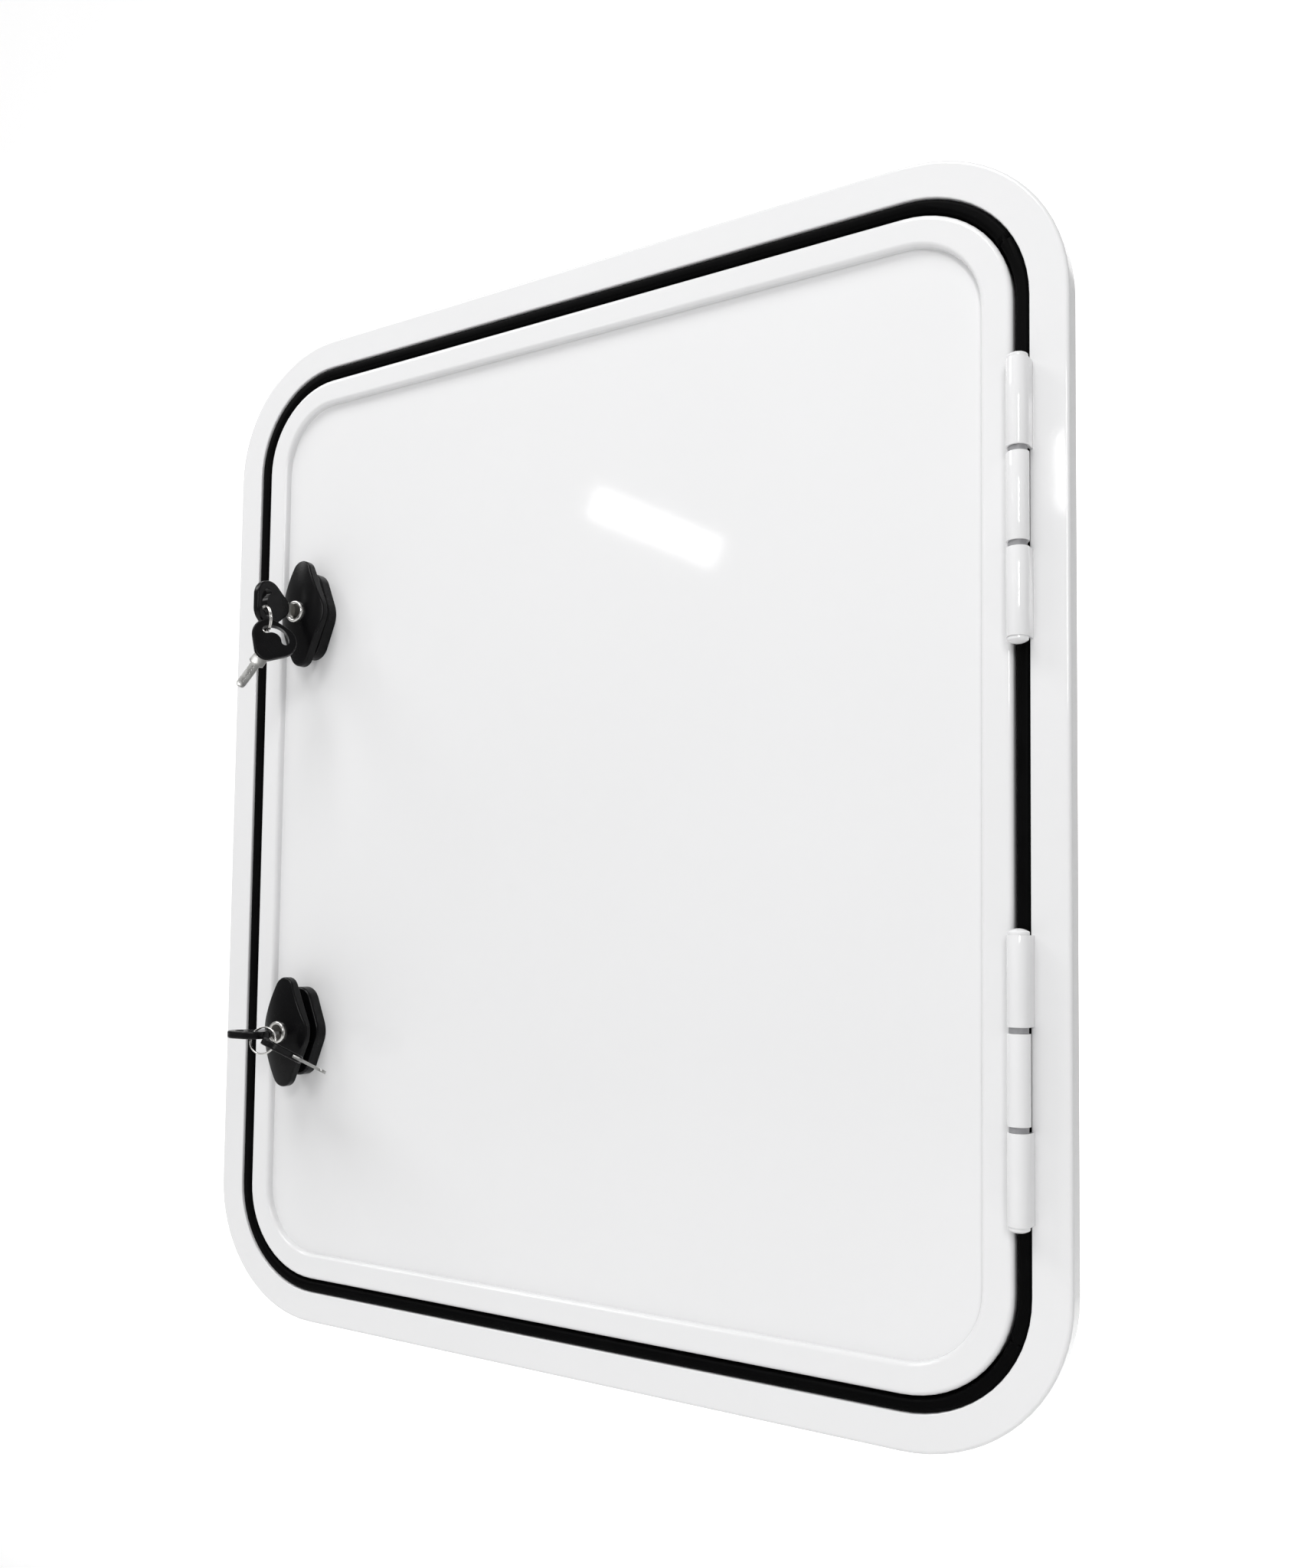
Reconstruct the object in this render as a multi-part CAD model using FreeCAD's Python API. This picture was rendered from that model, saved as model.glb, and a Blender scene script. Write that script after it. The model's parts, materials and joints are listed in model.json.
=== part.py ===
import FreeCAD, Part
import math
import os

# A hatch door for the side of a caravan or camper: a bent frame that sits in a
# cut-out of the wall, a rubber seal, a framed door leaf on two barrel hinges,
# and two turn-knob locks with their keys on rings.
#
# Millimetres. +X is to the right and -Y faces the person outside, +Z is up.
# The origin lies on the foot of the frame that beds on the wall's outer face,
# half way along the bottom rail.

# Outer frame
frame_width = 610.0
frame_height = 700.0
frame_corner_radius = 90.0
flange_width = 20.5
flange_depth = 15.0
frame_wall = 2.5
flange_edge_round = 2.2
lip_round = 0.8
foot_width = 8.0
spigot_depth = 30.0
stop_depth = 29.5
stop_thickness = 2.5
stop_width = 19.5

# Rubber seal
door_gap = 9.0
seal_sunk = 0.5
seal_to_door = 1.5
seal_play = 0.3
seal_foot = 18.0
seal_round = 2.4

# Door leaf
door_depth = 25.0
rim_width = 17.0
rim_wall = 2.0
rim_outer_round = 3.0
rim_inner_round = 2.4
recess_depth = 5.0
skin_thickness = 1.5
panel_play = 0.2

# Barrel hinges
hinge_half_spacing = 150.0
knuckle_radius = 6.0
knuckle_length = 46.7
knuckle_lift = 0.5
bush_gap = 3.2
bush_radius = 5.0
bush_play = 0.1
hinge_pin_radius = 3.0
hinge_pin_play = 0.05
hinge_cap_height = 3.5
hinge_cap_radius = 5.5
hinge_cap_step = 1.7
hinge_foot_width = 3.8
hinge_foot_thickness = 2.0

# Locks: heights are measured outwards from the door panel's face
lock_inset = 46.5
lock_half_spacing = 148.5
base_half_width = 19.0
base_half_height = 31.0
base_tip_radius = 12.0
base_height = 8.5
base_round = 2.0
knob_back_height = {"upper": 10.2, "lower": 16.2}
knob_half_width = 20.5
knob_half_height = 38.0
knob_tip_radius = 8.5
knob_thickness = 10.3
knob_side_drop = 6.6
knob_tip_drop = 4.5
crown_overhang = 1.15
knob_front_round = 1.6
knob_back_round = 0.8
collar_radius = 13.3
collar_length = 11.5
collar_play = 0.3
barrel_wall = 1.4
barrel_hole_play = 0.2
barrel_end_wall = 3.0
barrel_past_nut = 2.0
nut_thickness = 5.0
nut_across_flats = 36.0
nut_play = 0.05
spindle_radius = 5.0
spindle_play = 0.06
tongue_clearance = 5.0
tongue_thickness = 4.0
tongue_reach = 50.0
tongue_hub_radius = 10.0
tongue_tip_radius = 8.0
tongue_screw_radius = 2.5
tongue_screw_play = 0.1
tongue_screw_head_radius = 5.5
tongue_screw_head_height = 4.0

# Key cylinders
cylinder_proud = 2.5
cylinder_flange_radius = 7.7
cylinder_flange_seat = 1.0
cylinder_body_radius = 6.6
cylinder_body_length = 18.3
cylinder_play = 0.05
plug_radius = 5.0
plug_sunk = 0.5
keyway_play = 0.1

# Keys
key_head_length = 29.0
key_head_width = 31.0
key_head_thickness = 5.0
key_head_corner = 11.0
key_head_neck = 8.0
key_head_round = 1.2
key_slot_radius = 9.0
key_slot_half_width = 2.6
key_slot_half_angle = 55.0
key_blade_length = 25.0
key_blade_thickness = 2.0
key_shoulder_width = 10.0
key_blade_width = 6.2
key_shoulder_length = 4.4
key_grip = 9.0
key_head_gap = 5.4
key_ring_radius = 9.0
key_ring_wire = 1.1

# How the keys hang: where along a head's slot the ring passes, which way it leads
# from the key in the lock and through that key's head, and which way the spare
# key's blade points and its flat face looks
ring_slot_angle = {"upper": 29.0, "lower": -45.3}
spare_slot_angle = {"upper": -45.8, "lower": -15.2}
ring_way = {"upper": (0.4055, -0.0663, -0.9117), "lower": (0.8961, 0.2179, -0.3868)}
ring_through = {"upper": (0.8455, -0.3519, 0.4016), "lower": (-0.3088, -0.3199, -0.8957)}
spare_blade_way = {"upper": (-0.2186, -0.4968, -0.8399), "lower": (0.958, -0.0209, -0.2859)}
spare_face_way = {"upper": (-0.7722, 0.6143, -0.1624), "lower": (-0.2708, -0.3932, -0.8787)}

V = FreeCAD.Vector
OUT = V(0, -1, 0)
UP = V(0, 0, 1)
EDGE_TOLERANCE = 0.01

# Levels along Y and offsets inwards from the frame's outer edge
front_y = -flange_depth
stop_front_y = front_y + stop_depth
stop_back_y = stop_front_y + stop_thickness
panel_y = front_y + recess_depth
door_back_y = front_y + door_depth
panel_back_y = door_back_y - rim_wall
lip_inset = flange_width
door_inset = flange_width + door_gap
panel_inset = door_inset + rim_wall + panel_play
middle_z = frame_height / 2 - foot_width / 2

hinge_x = frame_width / 2 - flange_width - door_gap / 2
hinge_y = front_y - knuckle_lift - knuckle_radius
lock_x = -(frame_width / 2 - door_inset - lock_inset)
tongue_y = stop_back_y + tongue_clearance
barrel_bore = collar_radius + collar_play
barrel_radius = barrel_bore + barrel_wall
barrel_back_y = panel_back_y + nut_thickness + barrel_past_nut


def save(name, shape):
    shape.exportStep("parts/" + name + ".step")


def outline_wire(inset, y):
    """The frame's rounded outline, moved inwards by inset, in the plane Y = y."""
    half_w = frame_width / 2 - inset
    half_h = frame_height / 2 - inset
    return rounded_wire(half_w, half_h, frame_corner_radius - inset, V(0, y, middle_z))


def rounded_wire(half_w, half_h, radius, centre):
    """A rectangle with round corners in an XZ plane."""
    diagonal = radius * math.sqrt(0.5)
    edges = []
    last = None
    for sx, sz in ((1, 1), (-1, 1), (-1, -1), (1, -1)):
        corner = centre + V(sx * (half_w - radius), 0, sz * (half_h - radius))
        side = corner + V(sx * radius, 0, 0)
        top = corner + V(0, 0, sz * radius)
        start, end = (side, top) if sx * sz > 0 else (top, side)
        if last is not None:
            edges.append(Part.LineSegment(last, start).toShape())
        else:
            first = start
        edges.append(Part.Arc(start, corner + V(sx * diagonal, 0, sz * diagonal), end).toShape())
        last = end
    edges.append(Part.LineSegment(last, first).toShape())
    return Part.Wire(edges)


def slab(inset, y0, y1):
    """A plate of the frame's outline, inset, from y0 to y1."""
    return Part.Face(outline_wire(inset, y0)).extrude(V(0, y1 - y0, 0))


def ring(outer, inner, y0, y1):
    """A plate with a hole of the same outline: one wall of a bent profile."""
    return slab(outer, y0, y1).cut(slab(inner, y0, y1))


def joined(shapes):
    return shapes[0].fuse(shapes[1:]).removeSplitter()


def inset_of(point):
    """How far a point lies inside the frame's outer edge."""
    past_x = max(abs(point.x) - (frame_width / 2 - frame_corner_radius), 0)
    past_z = max(abs(point.z - middle_z) - (frame_height / 2 - frame_corner_radius), 0)
    return frame_corner_radius - math.hypot(past_x, past_z)


def outline_edges(shape, inset, y):
    """The edges of a bent profile at one inset and one level."""
    found = []
    for edge in shape.Edges:
        middle = edge.valueAt((edge.FirstParameter + edge.LastParameter) / 2)
        level = all(abs(v.Point.y - y) < EDGE_TOLERANCE for v in edge.Vertexes)
        if level and abs(middle.y - y) < EDGE_TOLERANCE and abs(inset_of(middle) - inset) < EDGE_TOLERANCE:
            found.append(edge)
    return found


def disc(centre, radius, h0, h1):
    """A round of a lock between two heights above the door panel."""
    return Part.makeCylinder(radius, h1 - h0, V(centre.x, panel_y - h0, centre.z), OUT)


def rod(centre, radius, y0, y1):
    """A round of a lock between two levels along Y."""
    return Part.makeCylinder(radius, y1 - y0, V(centre.x, y0, centre.z), V(0, 1, 0))


def hull_wire(circles, place):
    """The tight outline round a ring of circles (u, v, radius), drawn where place puts each (u, v)."""
    normals = []
    for (u0, v0, r0), (u1, v1, r1) in zip(circles, circles[1:] + circles[:1]):
        way = math.atan2(v1 - v0, u1 - u0)
        normals.append(way - math.pi / 2 + math.asin((r0 - r1) / math.hypot(u1 - u0, v1 - v0)))
    edges = []
    for k, (u, v, radius) in enumerate(circles):
        sweep = (normals[k] - normals[k - 1]) % (2 * math.pi)
        turns = [normals[k - 1], normals[k - 1] + sweep / 2, normals[k]]
        points = [place(u + radius * math.cos(t), v + radius * math.sin(t)) for t in turns]
        if edges:
            edges.append(Part.LineSegment(last, points[0]).toShape())
        else:
            first = points[0]
        edges.append(Part.Arc(*points).toShape())
        last = points[2]
    edges.append(Part.LineSegment(last, first).toShape())
    return Part.Wire(edges)


def upright_face(circles, centre, y):
    """A flat face on the plane Y = y, outlined round a lock's centre."""
    return Part.Face(hull_wire(circles, lambda u, v: V(centre.x + u, y, centre.z + v)))


def pointed_oval(half_w, half_h, tip_radius):
    """An upright oval: a middle circle and two tip circles, joined by tangents."""
    tip = half_h - tip_radius
    return [(0, -tip, tip_radius), (0, 0, half_w), (0, tip, tip_radius), (0, 0, half_w)]


def edges_at(shape, y):
    """The edges of a shape that lie on one level along Y."""
    return [e for e in shape.Edges if all(abs(v.Point.y - y) < EDGE_TOLERANCE for v in e.Vertexes)]


def outer_frame():
    """Bent profile: flange with a foot that beds on the wall, rebate, stop ledge and spigot."""
    wall_inset = lip_inset - frame_wall
    face = ring(0, lip_inset, front_y, front_y + frame_wall)
    side = ring(0, frame_wall, front_y + frame_wall, 0)
    foot = ring(frame_wall, foot_width, -frame_wall, 0)
    rebate = ring(wall_inset, lip_inset, front_y + frame_wall, spigot_depth)
    stop = ring(lip_inset, lip_inset + stop_width, stop_front_y, stop_back_y)
    frame = joined([face, side, foot, rebate, stop])
    frame = frame.makeFillet(flange_edge_round, outline_edges(frame, 0, front_y))
    return frame.makeFillet(lip_round, outline_edges(frame, lip_inset, front_y))


def frame_seal():
    """Rubber strip that fills the gap round the door and turns under the door's back edge."""
    outer = lip_inset + seal_play
    inner = door_inset - seal_to_door
    top = front_y + seal_sunk
    seat = stop_front_y - seal_play
    strip = ring(outer, inner, top, seat)
    strip = strip.makeFillet(seal_round, outline_edges(strip, outer, top) + outline_edges(strip, inner, top))
    under = ring(inner, outer + seal_foot, door_back_y + seal_play, seat)
    return joined([strip, under])


def door_rim():
    """Edge profile of the door: rounded front face, side wall and back lip round the panel."""
    inner = door_inset + rim_width
    front = ring(door_inset, inner, front_y, panel_y)
    side = ring(door_inset, door_inset + rim_wall, panel_y, door_back_y)
    lip = ring(door_inset + rim_wall, inner, panel_back_y, door_back_y)
    rim = joined([front, side, lip])
    rim = rim.makeFillet(rim_outer_round, outline_edges(rim, door_inset, front_y))
    return rim.makeFillet(rim_inner_round, outline_edges(rim, inner, front_y))


def panel_layer(y0, y1):
    """One layer of the sandwich panel, cut through for the two lock barrels."""
    layer = slab(panel_inset, y0, y1)
    for centre in lock_centres.values():
        layer = layer.cut(rod(centre, barrel_radius + barrel_hole_play, y0, y1))
    return layer


def knuckle(z0, side):
    """One hinge knuckle with a foot: side +1 stands on the frame, side -1 on the door."""
    axis = V(hinge_x, hinge_y, z0)
    gap_edge = hinge_x + side * door_gap / 2
    foot_edge = gap_edge + side * hinge_foot_width
    points = [axis, V(hinge_x + side * knuckle_radius, hinge_y, z0),
              V(foot_edge, front_y - hinge_foot_thickness, z0), V(foot_edge, front_y, z0),
              V(gap_edge, front_y, z0), V(gap_edge, front_y - hinge_foot_thickness, z0), axis]
    foot = Part.Face(Part.makePolygon(points)).extrude(V(0, 0, knuckle_length))
    barrel = Part.makeCylinder(knuckle_radius, knuckle_length, axis)
    bore = Part.makeCylinder(hinge_pin_radius + hinge_pin_play, knuckle_length, axis)
    return joined([barrel, foot]).cut(bore)


def hinge_cap(z, way):
    """A stepped cap with a low dome on the end of a hinge: way +1 above the barrel, -1 below it."""
    rise = hinge_cap_height - hinge_cap_step
    dome = (hinge_cap_radius ** 2 + rise ** 2) / (2 * rise)
    half = math.asin(hinge_cap_radius / dome) / 2
    middle = V(dome * math.sin(half), 0, hinge_cap_height - dome + dome * math.cos(half))
    foot = V(hinge_cap_radius, 0, 0)
    edge = V(hinge_cap_radius, 0, hinge_cap_step)
    top = V(0, 0, hinge_cap_height)
    base = Part.LineSegment(V(0, 0, 0), foot).toShape()
    side = Part.LineSegment(foot, edge).toShape()
    arc = Part.Arc(edge, middle, top).toShape()
    axis = Part.LineSegment(top, V(0, 0, 0)).toShape()
    cap = Part.Face(Part.Wire([base, side, arc, axis])).revolve(V(0, 0, 0), UP, 360)
    if way < 0:
        cap.rotate(V(0, 0, 0), V(1, 0, 0), 180)
    cap.translate(V(hinge_x, hinge_y, z))
    return cap


def build_hinge(name, z):
    """Two knuckles on the frame, one on the door, a pin, two bushes and two caps."""
    pitch = knuckle_length + bush_gap
    low = z - knuckle_length / 2 - pitch
    high = z + knuckle_length / 2 + pitch
    frame_knuckles = [knuckle(low, 1), knuckle(low + 2 * pitch, 1)]
    bushes = []
    for z0 in (low + knuckle_length, low + pitch + knuckle_length):
        start = V(hinge_x, hinge_y, z0 + bush_play)
        length = bush_gap - 2 * bush_play
        bush = Part.makeCylinder(bush_radius, length, start)
        bushes.append(bush.cut(Part.makeCylinder(hinge_pin_radius + hinge_pin_play, length, start)))
    save(name + "_hinge_frame_knuckles", Part.makeCompound(frame_knuckles))
    save(name + "_hinge_door_knuckle", knuckle(low + pitch, -1))
    save(name + "_hinge_pin", Part.makeCylinder(hinge_pin_radius, high - low, V(hinge_x, hinge_y, low)))
    save(name + "_hinge_bushes", Part.makeCompound(bushes))
    save(name + "_hinge_caps", Part.makeCompound([hinge_cap(high, 1), hinge_cap(low, -1)]))


def lock_base(centre):
    """Oval seat on the door panel that the knob's collar turns in."""
    outline = pointed_oval(base_half_width, base_half_height, base_tip_radius)
    base = upright_face(outline, centre, panel_y).extrude(OUT * base_height)
    base = base.makeFillet(base_round, edges_at(base, panel_y - base_height))
    return base.cut(disc(centre, barrel_bore, 0, base_height))


def lock_barrel(centre):
    """Sleeve through the door with an end wall that guides the spindle."""
    sleeve = rod(centre, barrel_radius, panel_y, barrel_back_y)
    sleeve = sleeve.cut(rod(centre, barrel_bore, panel_y, barrel_back_y - barrel_end_wall))
    return sleeve.cut(rod(centre, spindle_radius + spindle_play, panel_y, barrel_back_y))


def lock_nut(centre):
    """Six-sided nut that clamps the barrel on the door's inner skin."""
    reach = nut_across_flats / 2 / math.cos(math.pi / 6)
    points = []
    for k in range(7):
        turn = k * math.pi / 3
        points.append(V(centre.x + reach * math.cos(turn), panel_back_y, centre.z + reach * math.sin(turn)))
    nut = Part.Face(Part.makePolygon(points)).extrude(V(0, nut_thickness, 0))
    return nut.cut(rod(centre, barrel_radius + nut_play, panel_back_y, panel_back_y + nut_thickness))


def knob_crown(centre, front_level):
    """A block with a front that is arched both across and along the knob."""
    across = (knob_half_width ** 2 + knob_side_drop ** 2) / (2 * knob_side_drop)
    along = (knob_half_height ** 2 + knob_tip_drop ** 2) / (2 * knob_tip_drop)
    half = knob_half_width * crown_overhang
    sag = across - math.sqrt(across ** 2 - half ** 2)
    left = V(centre.x - half, front_level + sag, centre.z)
    right = V(centre.x + half, front_level + sag, centre.z)
    rear = V(0, knob_thickness, 0)
    arc = Part.Arc(left, V(centre.x, front_level, centre.z), right).toShape()
    sides = Part.makePolygon([right, right + rear, left + rear, left])
    section = Part.Face(Part.Wire([arc] + sides.Edges))
    pivot = V(centre.x, front_level + along, centre.z)
    half_turn = math.degrees(math.asin(knob_half_height * crown_overhang / along))
    section.rotate(pivot, V(1, 0, 0), -half_turn)
    return section.revolve(pivot, V(1, 0, 0), 2 * half_turn)


def knob(centre, back):
    """Turn knob: pointed oval with a crowned front, a collar behind and a bore for the key cylinder."""
    front = back + knob_thickness
    rear_y = panel_y - back
    outline = pointed_oval(knob_half_width, knob_half_height, knob_tip_radius)
    body = upright_face(outline, centre, rear_y).extrude(OUT * knob_thickness)
    body = body.common(knob_crown(centre, panel_y - front))
    front_edges = [e for e in body.Edges if all(v.Point.y < rear_y - knob_back_round for v in e.Vertexes)]
    body = body.makeFillet(knob_front_round, front_edges)
    body = body.makeFillet(knob_back_round, edges_at(body, rear_y))
    body = body.fuse(disc(centre, collar_radius, back - collar_length, back)).removeSplitter()
    seat = front - cylinder_flange_seat
    body = body.cut(disc(centre, cylinder_flange_radius + cylinder_play, seat, front))
    return body.cut(disc(centre, cylinder_body_radius + cylinder_play, seat - cylinder_body_length, seat))


def cylinder_housing(centre, front):
    """Key cylinder: a flange on the knob's face and a body in its bore."""
    seat = front - cylinder_flange_seat
    rear = seat - cylinder_body_length
    face = front + cylinder_proud
    flange = disc(centre, cylinder_flange_radius, seat, face)
    body = disc(centre, cylinder_body_radius, rear, seat)
    return joined([flange, body]).cut(disc(centre, plug_radius + cylinder_play, rear, face))


def cylinder_plug(centre, front, blade):
    """The turning plug with its keyway."""
    seat = front - cylinder_flange_seat
    face = front + cylinder_proud - plug_sunk
    plug = disc(centre, plug_radius, seat - cylinder_body_length, face)
    return plug.cut(blade)


def latch_tongue(centre):
    """Flat tongue on the spindle's end: it turns behind the frame's stop ledge to hold the door shut."""
    outline = [(0, 0, tongue_hub_radius), (0, tongue_reach - tongue_tip_radius, tongue_tip_radius)]
    plate = upright_face(outline, centre, tongue_y).extrude(V(0, tongue_thickness, 0))
    back = tongue_y + tongue_thickness
    return plate.cut(rod(centre, tongue_screw_radius + tongue_screw_play, tongue_y, back))


def tongue_screw(centre):
    back = tongue_y + tongue_thickness
    shank = rod(centre, tongue_screw_radius, tongue_y, back)
    return joined([shank, rod(centre, tongue_screw_head_radius, back, back + tongue_screw_head_height)])


def key_blade(width_play=0.0):
    """A key's blade along +X from the head's middle, flat in the XY plane."""
    start = key_head_length / 2 - key_grip
    shoulder = key_head_length / 2 + key_shoulder_length
    end = key_head_length / 2 + key_blade_length
    wide = key_shoulder_width / 2
    narrow = key_blade_width / 2 + width_play
    thick = key_blade_thickness / 2 + width_play
    low = V(0, 0, -thick)
    points = [V(start, -wide, 0), V(shoulder, -wide, 0),
              V(shoulder, -narrow, 0), V(end - narrow, -narrow, 0)]
    mirrored = [V(p.x, -p.y, 0) for p in reversed(points)]
    lower = Part.makePolygon([p + low for p in points])
    upper = Part.makePolygon([p + low for p in mirrored])
    tip = Part.Arc(points[-1] + low, V(end, 0, 0) + low, mirrored[0] + low).toShape()
    back = Part.LineSegment(mirrored[-1] + low, points[0] + low).toShape()
    return Part.Face(Part.Wire(lower.Edges + [tip] + upper.Edges + [back])).extrude(V(0, 0, 2 * thick))


def key_head():
    """A key's moulded head round the origin, with a curved slot for the ring."""
    low = -key_head_thickness / 2
    end = key_head_corner - key_head_length / 2
    side = key_head_width / 2 - key_head_corner
    outline = [(key_head_length / 2 - key_head_neck, 0, key_head_neck),
               (end, side, key_head_corner), (end, -side, key_head_corner)]
    wire = hull_wire(outline, lambda u, v: V(u, v, low))
    head = Part.Face(wire).extrude(UP * key_head_thickness)
    flat = [e for e in head.Edges if abs(e.Vertexes[0].Point.z - e.Vertexes[-1].Point.z) < EDGE_TOLERANCE]
    head = head.makeFillet(key_head_round, flat)
    return head.cut(key_slot()).cut(key_blade())


def key_slot():
    """The curved slot near the outer end of a key's head."""
    inner = key_slot_radius - key_slot_half_width
    outer = key_slot_radius + key_slot_half_width
    spread = math.radians(key_slot_half_angle)
    low = V(0, 0, -key_head_thickness)

    def at(radius, turn):
        return V(-radius * math.cos(turn), -radius * math.sin(turn), 0) + low

    def end_point(way):
        round_end = V(math.sin(spread), -way * math.cos(spread), 0) * key_slot_half_width
        return at(key_slot_radius, way * spread) + round_end

    edges = [
        Part.Arc(at(outer, -spread), at(outer, 0), at(outer, spread)).toShape(),
        Part.Arc(at(outer, spread), end_point(1), at(inner, spread)).toShape(),
        Part.Arc(at(inner, spread), at(inner, 0), at(inner, -spread)).toShape(),
        Part.Arc(at(inner, -spread), end_point(-1), at(outer, -spread)).toShape(),
    ]
    return Part.Face(Part.Wire(edges)).extrude(V(0, 0, 2 * key_head_thickness))


def placed(shape, origin, along, width):
    """A copy of a key piece with its blade along one direction and its width along another."""
    a = V(*along).normalize()
    normal = a.cross(V(*width)).normalize()
    w = normal.cross(a)
    turn = FreeCAD.Matrix(a.x, w.x, normal.x, origin.x, a.y, w.y, normal.y, origin.y,
                          a.z, w.z, normal.z, origin.z, 0, 0, 0, 1)
    copy = shape.copy()
    copy.Placement = FreeCAD.Placement(turn)
    return copy


def slot_point(origin, along, across, angle):
    """A point in a key's slot, for a head at origin with its blade along one way."""
    turn = math.radians(angle)
    return origin - along * (key_slot_radius * math.cos(turn)) - across * (key_slot_radius * math.sin(turn))


def build_keys(name, centre, front):
    """The key in the lock, its ring and the spare key; returns the keyway that the blade needs."""
    across = V(0, 0, 1) if name == "upper" else V(1, 0, 0)
    out = front + cylinder_proud + key_head_gap + key_head_length / 2
    origin = V(centre.x, panel_y - out, centre.z)
    save(name + "_key_head", placed(key_head(), origin, (0, 1, 0), across))
    save(name + "_key_blade", placed(key_blade(), origin, (0, 1, 0), across))
    slot = slot_point(origin, V(0, 1, 0), across, ring_slot_angle[name])
    lead = V(*ring_way[name]).normalize()
    spare_slot = slot + lead * (2 * key_ring_radius)
    blade_way = V(*spare_blade_way[name]).normalize()
    spare_across = V(*spare_face_way[name]).cross(blade_way).normalize()
    spare = spare_slot - slot_point(V(0, 0, 0), blade_way, spare_across, spare_slot_angle[name])
    save(name + "_spare_head", placed(key_head(), spare, blade_way, spare_across))
    save(name + "_spare_blade", placed(key_blade(), spare, blade_way, spare_across))
    middle = (slot + spare_slot) * 0.5
    ring_axis = lead.cross(V(*ring_through[name]))
    save(name + "_key_ring", Part.makeTorus(key_ring_radius, key_ring_wire, middle, ring_axis))
    return placed(key_blade(keyway_play), origin, (0, 1, 0), across)


def build_lock(name, centre):
    """One lock from its base on the panel to the tongue behind the door."""
    back = knob_back_height[name]
    front = back + knob_thickness
    save(name + "_lock_base", lock_base(centre))
    save(name + "_lock_barrel", lock_barrel(centre))
    save(name + "_lock_nut", lock_nut(centre))
    save(name + "_knob", knob(centre, back))
    save(name + "_cylinder_housing", cylinder_housing(centre, front))
    save(name + "_spindle", rod(centre, spindle_radius, panel_y - back + collar_length, tongue_y))
    save(name + "_latch_tongue", latch_tongue(centre))
    save(name + "_tongue_screw", tongue_screw(centre))
    keyway = build_keys(name, centre, front)
    save(name + "_cylinder_plug", cylinder_plug(centre, front, keyway))


lock_centres = {
    "upper": V(lock_x, 0, middle_z + lock_half_spacing),
    "lower": V(lock_x, 0, middle_z - lock_half_spacing),
}
hinge_heights = {"upper": middle_z + hinge_half_spacing, "lower": middle_z - hinge_half_spacing}

os.makedirs("parts", exist_ok=True)
save("outer_frame", outer_frame())
save("frame_seal", frame_seal())
save("door_rim", door_rim())
save("outer_skin", panel_layer(panel_y, panel_y + skin_thickness))
save("foam_core", panel_layer(panel_y + skin_thickness, panel_back_y - skin_thickness))
save("inner_skin", panel_layer(panel_back_y - skin_thickness, panel_back_y))
for hinge_name, hinge_z in hinge_heights.items():
    build_hinge(hinge_name, hinge_z)
for lock_name, lock_centre in lock_centres.items():
    build_lock(lock_name, lock_centre)
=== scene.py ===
import json
import math

import bpy
from mathutils import Matrix, Quaternion, Vector

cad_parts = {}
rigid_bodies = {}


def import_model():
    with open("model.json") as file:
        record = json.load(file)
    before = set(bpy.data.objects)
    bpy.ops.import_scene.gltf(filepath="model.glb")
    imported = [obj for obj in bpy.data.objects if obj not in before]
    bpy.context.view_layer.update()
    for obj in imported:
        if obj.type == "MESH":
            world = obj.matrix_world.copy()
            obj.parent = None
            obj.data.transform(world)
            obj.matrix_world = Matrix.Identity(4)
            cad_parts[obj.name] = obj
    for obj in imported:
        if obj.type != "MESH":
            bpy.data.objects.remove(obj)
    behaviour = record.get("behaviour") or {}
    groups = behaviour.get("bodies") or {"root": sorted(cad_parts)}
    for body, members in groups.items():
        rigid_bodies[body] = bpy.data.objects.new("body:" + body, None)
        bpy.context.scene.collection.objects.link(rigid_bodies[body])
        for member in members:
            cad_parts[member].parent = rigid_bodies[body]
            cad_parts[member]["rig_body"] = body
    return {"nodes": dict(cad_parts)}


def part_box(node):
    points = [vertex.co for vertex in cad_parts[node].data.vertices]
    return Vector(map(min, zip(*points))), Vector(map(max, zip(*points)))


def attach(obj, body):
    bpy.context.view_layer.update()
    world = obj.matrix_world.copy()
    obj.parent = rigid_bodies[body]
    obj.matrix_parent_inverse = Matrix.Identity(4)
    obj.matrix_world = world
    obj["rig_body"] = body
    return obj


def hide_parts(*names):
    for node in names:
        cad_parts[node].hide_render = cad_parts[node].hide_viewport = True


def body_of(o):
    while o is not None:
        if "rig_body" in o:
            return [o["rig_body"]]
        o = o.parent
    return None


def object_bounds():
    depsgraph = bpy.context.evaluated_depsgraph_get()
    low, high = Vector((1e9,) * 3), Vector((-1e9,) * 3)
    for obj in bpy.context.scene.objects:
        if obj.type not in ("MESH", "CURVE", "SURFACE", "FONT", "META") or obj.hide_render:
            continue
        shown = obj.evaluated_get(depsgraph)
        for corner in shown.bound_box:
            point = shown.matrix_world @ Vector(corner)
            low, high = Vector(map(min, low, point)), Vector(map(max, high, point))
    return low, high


bl_info = {
    "name": "Hatch Door",
    "version": (1, 0, 0),
    "blender": (4, 5, 0),
    "location": "View3D > Sidebar > Hatch",
    "description": "Finishes, locks, keys, seal details and studio for a caravan hatch door",
    "category": "Object",
}

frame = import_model()
cad_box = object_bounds()

MM = 0.001
MERGE_DISTANCE = 1e-6
NOISE_LOW = 0.3
NOISE_HIGH = 0.7
LEVELS = ("upper", "lower")

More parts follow.
